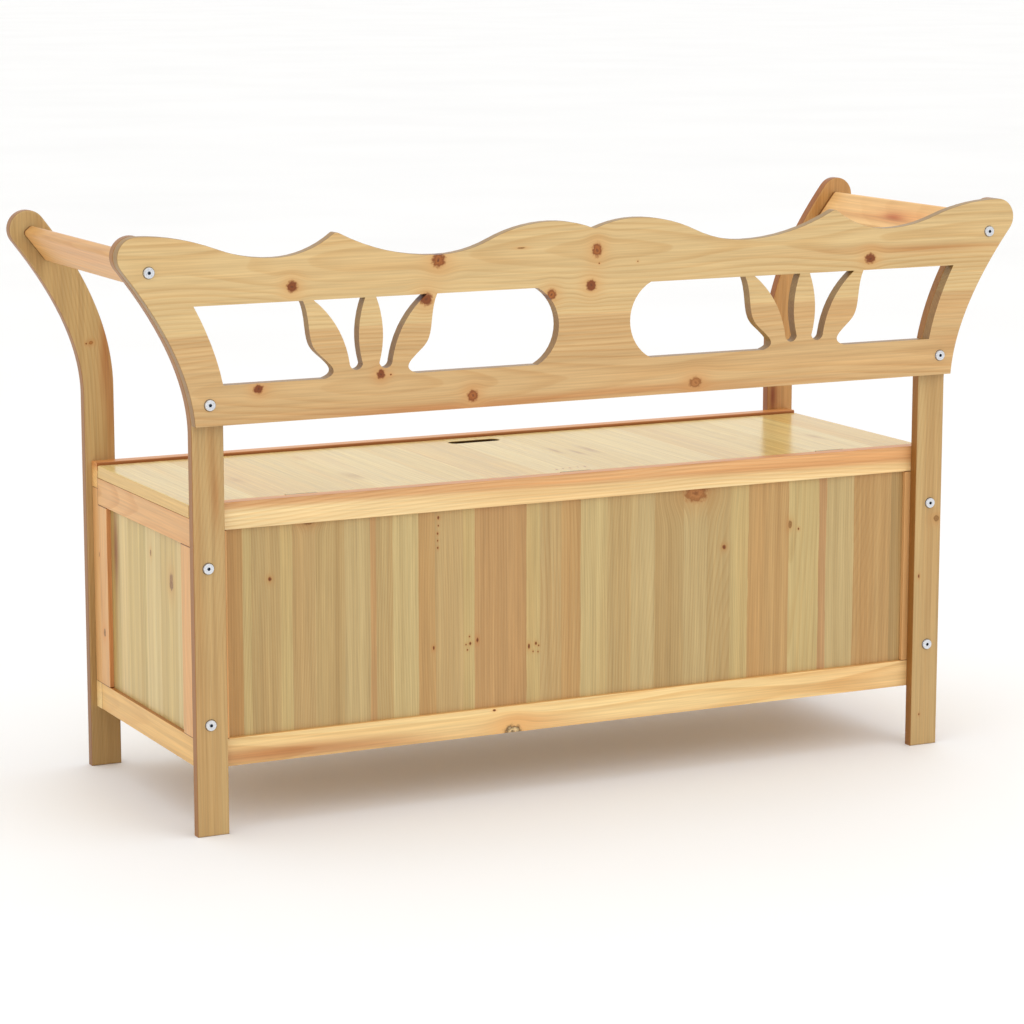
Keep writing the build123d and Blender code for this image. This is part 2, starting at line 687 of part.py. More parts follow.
def make_fasteners():
    """Bolts through posts and frames, barrel nuts, insert nuts and the cap nuts of the lower backrest bolts."""
    levels = (chest_bolt_low, chest_bolt_high)
    chest_places = [(sign * bolt_x, level) for _, sign in sides for level in levels]
    chest_length = post_thickness + rail_thickness + barrel_depth + bolt_past_barrel
    with BuildPart() as chest_bolts:
        add_bolts(chest_places, rear_post_rear, 1, chest_length)
        add_bolts(chest_places, front_post_front, -1, chest_length)
    save(chest_bolts, "chest_bolts")

    arm_places = [(sign * armrest_x, armrest_z) for _, sign in sides]
    arm_reach = insert_length + tip_gap
    make_bolts("armrest_bolts_front", arm_places, front_post_front, -1, post_thickness + arm_reach)
    make_bolts("armrest_bolts_rear", arm_places, back_rear, 1, back_thickness + post_thickness + arm_reach)

    low_places = [(sign * back_bolt_x, back_bolt_z) for _, sign in sides]
    low_length = back_thickness + cap_nut_sleeve_length
    make_bolts("backrest_bolts", low_places, back_rear, 1, low_length)

    with BuildPart() as barrels:
        for _, sign in sides:
            for barrel_y in (front_inside + barrel_depth, rear_inside - barrel_depth):
                start = Plane(origin=(sign * (bolt_x + barrel_length / 2), barrel_y, 0),
                              x_dir=(0, 1, 0), z_dir=(sign, 0, 0))
                with BuildSketch(start):
                    with Locations(*[(0, sign * level) for level in levels]):
                        Circle(barrel_diameter / 2)
                extrude(amount=-barrel_length)
        span = rear_post_rear - front_post_front
        bore(at_y(front_post_front), chest_places, bolt_radius + thread_fit, span)
    save(barrels, "barrel_nuts")

    with BuildPart() as inserts:
        for end, inward in ((rear_post_front, -1), (front_post_rear, 1)):
            for x, z in arm_places:
                mouth = Plane(origin=(x, end, z), z_dir=(0, -inward, 0))
                with BuildSketch(mouth):
                    Circle(insert_diameter / 2)
                    Circle(bolt_radius + thread_fit, mode=Mode.SUBTRACT)
                extrude(amount=-insert_length)
    save(inserts, "armrest_inserts")

    with BuildPart() as caps:
        for x, z in low_places:
            seat = Plane(origin=(x, rear_post_front, z), z_dir=(0, -1, 0))
            with BuildSketch(seat):
                Circle(bolt_head_diameter / 2)
            extrude(amount=bolt_head_height, taper=bolt_head_taper)
            with BuildSketch(seat):
                Circle(cap_nut_sleeve_diameter / 2)
            extrude(amount=-cap_nut_sleeve_length)
            bore(seat.offset(-cap_nut_sleeve_length), [(0, 0)], bolt_radius + thread_fit, -cap_nut_sleeve_length)
    save(caps, "backrest_cap_nuts")


for side, sign in sides:
    make_post(f"post_front_{side}", sign, front_post_rear, False)
    make_post(f"post_rear_{side}", sign, rear_post_rear, True)
    make_armrest(f"armrest_{side}", sign)
make_backrest()

dowel_places = make_long_frame("front", front_post_rear, front_inside)
dowel_places += make_long_frame("rear", rear_post_front, rear_inside)
for side, sign in sides:
    dowel_places += make_side_frame(side, sign)
make_dowels(dowel_places)
make_inside()

make_leaves("hinge_leaves_fixed", (-1, 1), (rear_inside - leaf_thickness, rear_inside), -1)
make_leaves("hinge_leaves_moving", (0,), (lid_rear, lid_rear + leaf_thickness), 1)
make_hinge_screws("hinge_screws_fixed", rear_inside - leaf_thickness, -1)
make_hinge_screws("hinge_screws_moving", lid_rear + leaf_thickness, 1)
make_hinge_pins()
make_lid()
make_fasteners()
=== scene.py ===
"""Looks of the storage bench: lacquered fir boards, zinc-plated bolts and hinges, a pale floor, soft light
and the camera of the photograph. Metres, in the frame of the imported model; the boards' values are in
millimetres."""

import math
from dataclasses import dataclass, replace

import bpy
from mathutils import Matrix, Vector

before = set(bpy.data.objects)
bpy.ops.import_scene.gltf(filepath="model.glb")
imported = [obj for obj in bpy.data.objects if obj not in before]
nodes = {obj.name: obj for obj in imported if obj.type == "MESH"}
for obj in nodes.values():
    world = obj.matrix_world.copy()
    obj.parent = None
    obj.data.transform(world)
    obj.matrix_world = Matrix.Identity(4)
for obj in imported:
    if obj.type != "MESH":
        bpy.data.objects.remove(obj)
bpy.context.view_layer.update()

# Camera: where the photograph was taken from, in metres and degrees
camera_place = (1.9346, 3.8780, 1.1072)
camera_azimuth = 153.63
camera_elevation = 10.16
camera_sensor = 36  # millimetres
camera_lens = 116.8  # millimetres

# Wood tones, as seen under white light, 0 to 255
tones = {
    "straw": (222, 191, 137),
    "tan": (216, 179, 126),
    "post": (199, 166, 113),
    "post_dark": (199, 150, 92),
    "rail": (248, 219, 164),
    "rail_rosy": (229, 178, 123),
    "rail_low": (250, 217, 155),
    "rail_side": (227, 176, 116),
    "rail_side_low": (238, 192, 118),
    "armrest": (228, 176, 110),
    "armrest_far": (245, 200, 137),
    "cream": (226, 198, 128),
    "cream_warm": (224, 192, 121),
    "cream_pale": (230, 205, 139),
    "amber_brown": (193, 148, 90),
    "amber": (198, 156, 100),
    "khaki": (193, 165, 113),
    "khaki_pale": (201, 177, 126),
    "pale": (204, 180, 124),
    "pale_straw": (208, 186, 132),
    "beige": (198, 167, 115),
    "rose": (193, 147, 100),
    "rose_brown": (196, 151, 99),
    "olive": (184, 151, 99),
    "side_straw": (212, 186, 122),
    "side_pale": (221, 199, 140),
    "side_green": (200, 175, 112),
    "plain": (225, 192, 142),
}
lacquer_sheen = 0.002  # white that the lacquer adds to a tone
studio_light = 1.08  # light on an upright face
least_light = 0.004  # of a dark tone without the sheen

# Metal tones, 0 to 255
bolt_zinc = (231, 234, 239)
cap_nut_zinc = (224, 228, 234)
nut_steel = (196, 196, 192)
hinge_steel = (196, 176, 142)

# Glued strips and bands: where each one starts across the grain, and its tone
rear_strips = (
    (-496, "olive"), (-471, "amber"), (-412, "khaki_pale"), (-370, "rose"), (-357, "pale"), (-313, "amber"),
    (-250, "pale"), (-224, "khaki"), (-188, "khaki_pale"), (-154, "khaki"), (-109, "khaki_pale"),
    (-74, "khaki"), (-42, "pale_straw"), (-3, "amber"), (24, "beige"), (58, "pale"), (77, "rose_brown"),
    (148, "pale"), (165, "beige"), (202, "amber"), (227, "pale_straw"), (262, "khaki"), (283, "rose_brown"),
    (293, "khaki_pale"), (326, "khaki"), (367, "beige"), (398, "pale"), (411, "khaki"), (453, "pale"),
    (464, "amber_brown"),
)
front_strips = (
    (-496, "amber"), (-431, "khaki_pale"), (-372, "beige"), (-301, "pale_straw"), (-262, "khaki"),
    (-190, "rose_brown"), (-141, "pale"), (-77, "khaki"), (-20, "amber"), (41, "khaki_pale"),
    (98, "pale_straw"), (131, "beige"), (207, "khaki"), (266, "amber"), (309, "pale"), (377, "khaki_pale"),
    (429, "rose_brown"), (470, "beige"),
)
side_strips = (
    (-144, "side_green"), (-112, "side_pale"), (-82, "side_straw"), (-37, "side_green"), (-14, "side_pale"),
    (38, "side_straw"), (96, "side_pale"),
)
lid_strips = (
    (-528, "cream_warm"), (-462, "cream_pale"), (-369, "cream"), (-283, "cream_warm"), (-228, "cream_pale"),
    (-134, "cream"), (-52, "cream_pale"), (31, "cream_warm"), (114, "cream"), (169, "cream_pale"),
    (262, "cream"), (341, "cream_warm"), (432, "cream_pale"),
)
back_strips = ((500, "tan"), (618, "straw"))
top_rail_bands = ((355, "rail"), (392, "rail"), (399, "rail_rosy"))

# Knots: place along the grain, place across it, radius, stretch along the grain, kind
back_knots = (
    (410, 671, 7.2, 1.0, "disc"), (216, 694, 9.2, 1.0, "ring"), (233, 647, 8.0, 1.1, "disc"),
    (-3, 697, 9.0, 0.8, "ring"), (5, 653, 7.4, 1.0, "disc"), (61, 644, 6.8, 1.0, "ring"),
    (294, 558, 5.8, 1.0, "disc"), (455, 550, 5.8, 1.1, "disc"), (170, 524, 7.5, 1.0, "ring"),
    (-406, 668, 6.8, 1.2, "disc"), (-146, 521, 7.0, 1.4, "faint"), (103, 704, 1.0, 6.0, "dull"),
    (-6, 680, 1.0, 1.0, "pin"), (-61, 680, 1.0, 1.0, "pin"), (281, 557, 1.2, 1.2, "pin"),
)
rear_knots = (
    (309, 429, 2.6, 1.2, "pin"), (367, 201, 1.5, 1.6, "pin"), (347, 202, 1.2, 1.4, "pin"),
    (329, 202, 1.1, 1.4, "pin"), (357, 201, 0.9, 1.4, "pin"), (338, 202, 0.9, 1.4, "pin"),
    (201, 208, 1.5, 1.6, "pin"), (202, 157, 1.6, 1.3, "pin"), (205, 147, 1.6, 2.2, "pin"),
    (211, 158, 1.0, 1.2, "pin"), (201, 163, 1.0, 1.2, "pin"), (194, 161, 1.0, 1.2, "pin"),
    (190, 74, 1.6, 2.2, "pin"), (193, 64, 1.6, 1.3, "pin"), (190, 60, 1.0, 1.2, "pin"),
    (183, 68, 1.0, 1.2, "pin"), (182, 61, 1.0, 1.2, "pin"), (370, -169, 18.0, 0.7, "faint"),
    (377, 376, 8.0, 0.6, "dull"), (295, -212, 3.0, 1.1, "pin"), (317, -312, 2.8, 1.8, "dull"),
    (310, -325, 1.3, 1.3, "pin"),
)
side_knots = ((296, 77, 6.5, 1.8, "dull"), (321, 5, 2.4, 1.8, "dull"))
stile_knots = ((289, -174, 2.6, 1.4, "dull"), (187, -158, 4.0, 1.4, "dull"))
front_right_knots = ((564, 524, 3.2, 0.8, "faint"), (563, 531, 1.1, 1.0, "pin"))
rear_left_knots = ((311, -528, 4.6, 1.0, "dull"), (234, -502, 1.3, 1.8, "pin"), (43, -507, 1.2, 1.2, "pin"))
bottom_rail_knots = ((100, 81.5, 10.0, 1.3, "eye"), (126, 113, 1.4, 1.6, "pin"))
lid_knots = (
    (119, 7, 1.2, 2.5, "pin"), (118, -3, 1.0, 2.5, "pin"), (116, -14, 1.3, 2.5, "pin"),
    (114, -26, 1.1, 2.5, "pin"), (113, -37, 1.3, 2.5, "pin"),
)

# Heart of a knot: tones from its middle outwards, 0 to 255, and their places on a ramp
knot_hearts = {
    "disc": ((98, 42, 8), (130, 62, 14), (118, 52, 10), (166, 100, 44)),
    "ring": ((84, 34, 8), (170, 98, 42), (124, 60, 18), (174, 106, 50)),
    "eye": ((38, 24, 12), (234, 202, 148), (76, 52, 28), (190, 142, 90)),
    "faint": ((140, 84, 38), (182, 120, 64), (146, 90, 40), (186, 132, 78)),
    "dull": ((118, 78, 32), (158, 114, 62), (136, 94, 46), (178, 138, 86)),
    "pin": ((84, 36, 8), (110, 54, 16), (140, 80, 34), (168, 112, 62)),
}
heart_places = (0.0, 0.3, 0.62, 0.84)
heart_scale = 0.8  # length of a knot's radius on the ramp
heart_edge = (0.65, 1.3)  # where the heart starts and ends to fade, in radii
heart_cover = 0.95
heart_grit = 0.28  # raggedness of the heart, in radii
halo_cover = 0.6
grain_bend = 0.8  # how far a knot pushes the grain aside
grain_fall = 0.22  # how fast that fades with the square of the distance

# Stains: place along the grain, place across it, half length, half width, tint, strength
rosy = (0.66, 0.44, 0.36)
rosy_pale = (0.84, 0.66, 0.56)
amber_tint = (0.80, 0.58, 0.38)
branch_tint = (0.60, 0.44, 0.34)
back_stains = (
    (-480, 678, 150, 6, (0.82, 0.60, 0.46), 0.8), (20, 515, 300, 7, (0.90, 0.68, 0.54), 0.9),
    (240, 512, 120, 5, (0.88, 0.62, 0.48), 0.7), (-560, 552, 60, 10, (0.88, 0.70, 0.58), 0.6),
)
bottom_rail_stains = (
    (440, 91, 150, 11, rosy, 1.0), (300, 86, 110, 6, rosy, 0.7), (80, 92, 70, 9, rosy_pale, 0.9),
    (-20, 82, 200, 5, rosy_pale, 0.5), (-440, 98, 120, 30, (0.97, 0.87, 0.82), 0.9),
)
rear_right_stains = (
    (480, 510, 60, 7, amber_tint, 0.5), (420, 505, 40, 5, (0.80, 0.50, 0.30), 0.6),
    (300, 530, 200, 5, amber_tint, 0.35),
)
# The first row is no stain: it makes the post darker towards the bottom.
front_right_stains_and_darkening = (
    (60, 515, 260, 60, (0.74, 0.68, 0.58), 0.9), (560, 505, 90, 6, (0.72, 0.38, 0.20), 0.75),
    (470, 500, 60, 4, (0.75, 0.42, 0.24), 0.6),
)
front_left_stains = ((430, -505, 26, 6, (0.50, 0.24, 0.12), 1.0),)
armrest_left_stains = (
    (-10, 697, 26, 5, (0.66, 0.36, 0.26), 0.9), (10, 700, 70, 9, (0.88, 0.66, 0.56), 0.7),
    (-60, 694, 90, 4, (0.86, 0.66, 0.54), 0.6),
)
armrest_right_stains = ((0, 700, 160, 12, (0.96, 0.86, 0.80), 0.7),)
side_stains = ((304, -127, 52, 11, (0.50, 0.27, 0.13), 1.0), (230, -128, 90, 7, (0.70, 0.50, 0.30), 0.4))
lid_stains = (
    (-16, -60, 22, 4, branch_tint, 0.8), (6, -81, 26, 4, (0.56, 0.40, 0.30), 0.8),
    (-6, -106, 30, 5, branch_tint, 0.8), (48, 263, 26, 9, (0.66, 0.54, 0.42), 0.8),
    (12, 407, 20, 8, (0.74, 0.62, 0.50), 0.7), (-113, 272, 22, 8, (0.84, 0.66, 0.54), 0.6),
    (30, -437, 22, 7, (0.68, 0.54, 0.42), 0.7),
)

# Tints that a tone is multiplied by
late_tint = (0.80, 0.64, 0.46)
warm_tint = (1.0, 0.80, 0.62)
halo_tint = (0.92, 0.64, 0.42)
# painted shade on the walls of the lid's finger slot
hollow_painted_shade = (0.10, 0.07, 0.05)
# painted shadow in the joints where boards meet
joint_painted_shadow = (0.30, 0.19, 0.10)
# painted shade inside the bolts' hex sockets
socket_painted_shade = (0.08, 0.10, 0.13)
rail_edge = (0.94, 0.76, 0.55)
# posts' flanks: partly their darker sawn wood, partly painted shade
post_edge_and_shade = (0.62, 0.40, 0.19)
back_edge = (0.48, 0.40, 0.25)
side_rail_edge = (0.6, 0.42, 0.32)
stile_edge = (0.98, 0.78, 0.74)
lid_edge = (0.99, 0.87, 0.80)
# painted shade in the gap between lid and front top rail, on the rail's face towards +Y above the lid
front_rail_painted_shade = (0.58, 0.38, 0.23)

# Noise: bumps per metre along the grain, across it and into the board
border_bumps = (12.0, 900.0, 1.0)
sway_bumps = (1.3, 1.0, 1.0)
drift_bumps = (2.1, 1.0, 1.0)
ripple_bumps = (4.5, 36.0, 36.0)
patch_bumps = (2.0, 14.0, 1.0)
fibre_bumps = (9.0, 420.0, 420.0)
band_bumps = (1.6, 22.0, 1.0)
streak_bumps = (1.2, 110.0, 60.0)
grit_bumps = (260.0, 260.0, 1.0)
noise_range = (0.2, 0.8)  # holds nearly all values of a noise
patch_range = (0.3, 0.7)
band_range = (0.48, 0.72)
smooth_detail = 1.0
fine_detail = 3.0
fine_roughness = 0.6

# Grain: lengths in metres
border_wander = 0.0012
pith_drift = 0.02
ring_ripple = 0.002
stain_wander = 0.004
pith_sway = (0.3, 1.8)  # least and greatest depth of the pith, as shares of its usual depth
seed_shift = 1.7  # along the grain, for each unit of a seed
strip_shift = 9.0  # along the grain, between the strips of a board
strip_turn = 0.618  # golden share, which sets neighbouring strips apart
strip_start = 0.37  # turn of the first strip, for each unit of a seed
strip_offset = 0.2  # share of the spread that lies on one side of the pith's place
drift_seed = 4.0  # keeps the drift of the pith apart from its sway
faint_rings = 0.35  # share of the contrast where the rings are weakest
late_wood = ((0.0, 0.05), (0.45, 0.15), (0.85, 1.0), (0.95, 0.8), (1.0, 0.05))  # strength through one ring
streak_tints = (
    (0.3, (0.86, 0.82, 0.76, 1.0)),
    (0.5, (0.98, 0.97, 0.95, 1.0)),
    (0.7, (1.1, 1.12, 1.12, 1.0)),
)
fibre_levels = ((0.2, 0.82), (0.8, 1.12))

# Painted shade and other dark faces: how far a face turns to an axis, from 0 to 1, where a shade starts and
# where it ends
wall_turn = (0.3, 0.7)
gap_shade_turn = (0.3, 0.8)
planed_turn = (0.3, 0.9)
hollow_edge = (1.9, 2.0)  # square of the distance where the painted shade on the walls ends, in the hole's half sizes
# millimetres over which that painted shade fades in
gap_shade_fade = 2  # millimetres
joint_shadow_core = 5 / 6  # share of the painted shadow line at a board's end that is fully dark

# Lacquer and metal
gloss_change = (-0.05, 0.07)  # of the roughness, with the fibres
coat_roughness = 0.18
bump_strength = 0.12
bump_height = 0.0004
fibre_height = 0.6
late_height = 0.4
mottle_dark = 0.82
mottle_range = (0.3, 0.7)
mottle_change = (-0.06, 0.08)  # of the roughness, with the mottling


def light_value(level):
    """Display level 0 to 255 as linear light."""
    share = level / 255
    return share / 12.92 if share <= 0.04045 else ((share + 0.055) / 1.055) ** 2.4


def colour(levels):
    """Linear colour of three display levels."""
    return (*[light_value(level) for level in levels], 1.0)


def bare(levels):
    """Colour of the bare wood under the lacquer's sheen, for a tone as it is seen on an upright face."""
    return (*[max(value - lacquer_sheen, least_light) / studio_light for value in colour(levels)[:3]], 1.0)


def grey(level):
    """Linear grey."""
    return (level, level, level, 1.0)


def reach(node, axis):
    """Least and greatest place of a CAD node along an axis."""
    places = [corner["XYZ".index(axis)] for corner in nodes[node].bound_box]
    return min(places), max(places)


class Tree:
    """Lays out the nodes of one material; positions come from the object's own frame."""

    def __init__(self, name):
        self.material = bpy.data.materials.new(name)
        self.material.use_nodes = True
        self.nodes = self.material.node_tree.nodes
        self.links = self.material.node_tree.links
        self.shader = next(node for node in self.nodes if node.type == "BSDF_PRINCIPLED")
        source = self.nodes.new("ShaderNodeTexCoord")
        self.place = self.split(source.outputs["Object"])
        self.facing = self.split(source.outputs["Normal"])

    def split(self, vector):
        """Parts of a vector by the name of their axis."""
        node = self.nodes.new("ShaderNodeSeparateXYZ")
        self.links.new(vector, node.inputs[0])
        return dict(zip("XYZ", node.outputs))

    def put(self, socket, value):
        """Links or sets an input."""
        if isinstance(value, bpy.types.NodeSocket):
            self.links.new(value, socket)
        else:
            socket.default_value = value

    def give(self, name, value):
        """Links or sets an input of the shader."""
        self.put(self.shader.inputs[name], value)

    def math(self, operation, *values):
        """One calculation with numbers."""
        node = self.nodes.new("ShaderNodeMath")
        node.operation = operation
        for socket, value in zip(node.inputs, values):
            self.put(socket, value)
        return node.outputs[0]

    def span(self, value, low, high, to_low=0.0, to_high=1.0, smooth=False):
        """Turns the range from low to high into the range from to_low to to_high."""
        node = self.nodes.new("ShaderNodeMapRange")
        node.interpolation_type = "SMOOTHSTEP" if smooth else "LINEAR"
        for socket, number in zip(node.inputs, (value, low, high, to_low, to_high)):
            self.put(socket, number)
        return node.outputs[0]

    def fade(self, square, rate):
        """Bell curve of the square of a distance."""
        return self.math("EXPONENT", self.math("MULTIPLY", square, -rate))

    def square_off(self, along, side, middle, long, wide):
        """Square of the distance from a spot, in half lengths along and half widths across."""
        off_along = self.math("MULTIPLY", self.math("SUBTRACT", along, middle / 1000), 1000 / long)
        off_side = self.math("MULTIPLY", side, 1000 / wide)
        return self.math("MULTIPLY_ADD", off_along, off_along, self.math("MULTIPLY", off_side, off_side))

    def noise(self, place, bumps=(1.0, 1.0, 1.0), detail=2.0, roughness=0.5):
        """Noise at a place, with so many bumps per metre along each of its axes."""
        vector = self.nodes.new("ShaderNodeCombineXYZ")
        for socket, value, rate in zip(vector.inputs, place, bumps):
            self.put(socket, value if rate == 1.0 else self.math("MULTIPLY", value, rate))
        node = self.nodes.new("ShaderNodeTexNoise")
        self.links.new(vector.outputs[0], node.inputs["Vector"])
        node.inputs["Scale"].default_value = 1.0
        node.inputs["Detail"].default_value = detail
        node.inputs["Roughness"].default_value = roughness
        return node.outputs[0]

    def steps(self, value, stops, hard=False):
        """Colour ramp through (position, colour) stops."""
        node = self.nodes.new("ShaderNodeValToRGB")
        ramp = node.color_ramp
        ramp.interpolation = "CONSTANT" if hard else "LINEAR"
        while len(ramp.elements) > 1:
            ramp.elements.remove(ramp.elements[-1])
        ramp.elements[0].position, ramp.elements[0].color = stops[0]
        for position, shade in stops[1:]:
            ramp.elements.new(position).color = shade
        self.put(node.inputs[0], value)
        return node.outputs[0]

    def greys(self, value, stops):
        """Grey ramp through (position, level) stops."""
        return self.steps(value, [(position, grey(level)) for position, level in stops])

    def mix(self, share, first, second, blend="MIX"):
        """Blend of two colours."""
        node = self.nodes.new("ShaderNodeMix")
        node.data_type = "RGBA"
        node.blend_type = blend
        self.put(node.inputs[0], share)
        self.put(node.inputs[6], first)
        self.put(node.inputs[7], second)
        return node.outputs[2]

    def times(self, shade, tint):
        """A colour multiplied by a tint: three numbers or a linked colour."""
        return self.mix(1.0, shade, (*tint, 1.0) if isinstance(tint, tuple) else tint, "MULTIPLY")

    def tinted(self, share, shade, tint):
        """A colour that takes on a share of a tint."""
        return self.mix(share, shade, self.times(shade, tint))


@dataclass
class Board:
    """How a board is cut and finished; places and sizes in millimetres."""

    along: str  # axis of the grain
    across: str  # axis across the grain
    tone: str
    seed: float = 0.0  # gives each board its own grain
    strips: tuple = ()
    strip_end: float = 0.0  # where the last strip ends
    slant: float = 0.0  # slope of the borders, for bands that blend into each other
    spread: float = 0.5  # how far apart the piths of the strips lie, in metres
    blend: float = 0.0  # share of the board's own tone in its strips
    knots: tuple = ()
    stains: tuple = ()
    contrast: float = 0.45  # strength of the growth rings
    ring: float = 3.2  # width of a growth ring
    pith_depth: float = 60.0  # below the middle of the board
    pith_place: float = 0.0  # across the grain
    flow: float = 0.3  # strength of the warm bands
    streaks: float = 0.8  # strength of the streaks
    gloss: float = 0.36  # roughness of the lacquer
    coat: float = 0.06  # weight of the clear coat
    shine: float = 0.28  # strength of the reflections
    face: str = ""  # axis of the planed faces, where the other faces have a tint of their own
    edge: tuple = ()  # that tint
    hollow: tuple = ()  # hole whose walls get painted shade: place along and across the grain, half length, half width
    painted_gap_shade: tuple = ()  # painted shade in a gap, on the faces towards +Y: from which place across the grain, and its tint
    ends: float = 0.0  # width of the painted shadow line at both ends, where the board meets another one


class Fir(Tree):
    """Lacquered fir for one CAD node."""

    def __init__(self, node, board):
        super().__init__(node)
        self.board = board
        self.along = self.place[board.along]
        self.across = self.place[board.across]
        self.deep_axis = next(axis for axis in "XYZ" if axis not in (board.along, board.across))
        low, high = reach(node, self.deep_axis)
        self.deep = self.math("SUBTRACT", self.place[self.deep_axis], (low + high) / 2)
        self.lay_strips()
        self.bend_grain()
        self.grow_rings()
        self.tone_wood()
        self.add_stains()
        self.add_knots()
        self.paint_hollow_shade()
        self.paint_gap_shade()
        self.paint_joint_shadow(*reach(node, board.along))
        self.tone_edges()
        self.lacquer()

    def lay_strips(self):
        """Tone of the bare wood, and the part of the log that each glued strip is cut from."""
        board = self.board
        own_tone = bare(tones[board.tone])
        self.base = own_tone
        self.sideways = -board.pith_place / 1000
        shift = board.seed * seed_shift
        if board.strips:
            low, high = board.strips[0][0] / 1000, board.strip_end / 1000
            ragged = self.noise((self.along, self.across, board.seed), border_bumps)
            wander = self.span(ragged, *noise_range, -border_wander, border_wander)
            border = self.math("ADD", self.across, wander)
            where = self.span(self.math("MULTIPLY_ADD", self.along, -board.slant, border), low, high)
            starts = [(start / 1000 - low) / (high - low) for start, _ in board.strips]
            stops = [(start, bare(tones[tone])) for start, (_, tone) in zip(starts, board.strips)]
            self.base = self.mix(board.blend, self.steps(where, stops, hard=not board.slant), own_tone)
        if board.strips and not board.slant:
            turns = [(number * strip_turn + board.seed * strip_start) % 1 for number in range(len(starts))]
            mark = self.steps(where, [(start, grey(turn)) for start, turn in zip(starts, turns)], hard=True)
            shift = self.math("MULTIPLY_ADD", mark, strip_shift, shift)
            first = self.sideways - board.spread * strip_offset
            self.sideways = self.math("MULTIPLY_ADD", mark, board.spread, first)
        self.moved = self.math("ADD", self.along, shift)

    def bend_grain(self):
        """Bends the grain round the knots."""
        self.bent = self.across
        self.near = []
        for along, across, radius, stretch, kind in self.board.knots:
            side = self.math("SUBTRACT", self.across, across / 1000)
            square = self.square_off(self.along, side, along, radius * stretch, radius)
            pull = self.fade(square, grain_fall)
            aside = self.math("MULTIPLY", side, self.math("MULTIPLY", pull, grain_bend))
            self.bent = self.math("SUBTRACT", self.bent, aside)
            self.near.append((square, pull, kind))

    def grow_rings(self):
        """Growth rings round a pith that wanders along the board."""
        board = self.board
        sway = self.noise((self.moved, board.seed, 0.0), sway_bumps, smooth_detail)
        drift = self.noise((self.moved, board.seed + drift_seed, 0.0), drift_bumps, smooth_detail)
        depths = [share * board.pith_depth / 1000 for share in pith_sway]
        height = self.math("ADD", self.deep, self.span(sway, *noise_range, *depths))
        beside = self.math("ADD", self.bent, self.sideways)
        width = self.math("ADD", beside, self.span(drift, 0.0, 1.0, -pith_drift, pith_drift))
        square = self.math("MULTIPLY_ADD", height, height, self.math("MULTIPLY", width, width))
        self.ripple = self.noise((self.moved, self.bent, self.deep), ripple_bumps)
        uneven = self.span(self.ripple, 0.0, 1.0, -ring_ripple, ring_ripple)
        rings = self.math("ADD", self.math("SQRT", square), uneven)
        turn = self.math("FRACT", self.math("MULTIPLY", rings, 1000 / board.ring))
        self.late = self.greys(turn, late_wood)

    def tone_wood(self):
        """Late wood, warm bands, streaks and fibres on the bare wood."""
        board = self.board
        grain = (self.moved, self.bent, self.deep)
        patch = self.noise((self.moved, self.across, board.seed), patch_bumps)
        strength = self.span(patch, *patch_range, board.contrast * faint_rings, board.contrast)
        shade = self.tinted(self.math("MULTIPLY", self.late, strength), self.base, late_tint)
        band = self.span(self.noise(grain, band_bumps), *band_range, 0.0, board.flow, smooth=True)
        shade = self.mix(band, shade, self.times(self.base, warm_tint))
        streak = self.noise(grain, streak_bumps, fine_detail)
        shade = self.tinted(board.streaks, shade, self.steps(streak, streak_tints))
        self.fibre = self.noise(grain, fibre_bumps, fine_detail, fine_roughness)
        self.shade = self.times(shade, self.greys(self.fibre, fibre_levels))

    def add_stains(self):
        """Soft stains along the grain."""
        for along, across, long, wide, tint, strength in self.board.stains:
            wander = self.span(self.ripple, *noise_range, -stain_wander, stain_wander)
            side = self.math("ADD", self.math("SUBTRACT", self.bent, across / 1000), wander)
            square = self.square_off(self.along, side, along, long, wide)
            share = self.math("MULTIPLY", self.fade(square, 1.0), strength)
            self.shade = self.tinted(share, self.shade, tint)

    def add_knots(self):
        """Halo and heart of each knot."""
        if not self.near:
            return
        grit = self.noise((self.along, self.across, self.board.seed), grit_bumps, fine_detail)
        ragged = self.span(grit, *noise_range, -heart_grit, heart_grit)
        for square, pull, kind in self.near:
            halo = self.math("MULTIPLY", pull, halo_cover)
            self.shade = self.mix(halo, self.shade, self.times(self.base, halo_tint))
            out = self.math("ADD", self.math("SQRT", square), ragged)
            stops = [(place, bare(levels)) for place, levels in zip(heart_places, knot_hearts[kind])]
            heart = self.steps(self.math("MULTIPLY", out, heart_scale), stops)
            cover = self.span(out, *heart_edge, heart_cover, 0.0, smooth=True)
            self.shade = self.mix(cover, self.shade, heart)

    def paint_hollow_shade(self):
        """Painted shade on the walls of a hole."""
        if self.board.hollow:
            along, across, long, wide = self.board.hollow
            side = self.math("SUBTRACT", self.across, across / 1000)
            square = self.square_off(self.along, side, along, long, wide)
            wall = self.span(self.math("ABSOLUTE", self.facing[self.deep_axis]), *wall_turn, 1.0, 0.0)
            share = self.math("MULTIPLY", wall, self.span(square, *hollow_edge, 1.0, 0.0))
            self.shade = self.tinted(share, self.shade, hollow_painted_shade)

    def paint_gap_shade(self):
        """Painted shade in a gap: faces towards +Y darkened, from a place across the grain on."""
        if self.board.painted_gap_shade:
            start, tint = self.board.painted_gap_shade
            beyond = self.span(self.across, start / 1000, (start + gap_shade_fade) / 1000)
            share = self.math("MULTIPLY", self.span(self.facing["Y"], *gap_shade_turn), beyond)
            self.shade = self.tinted(share, self.shade, tint)

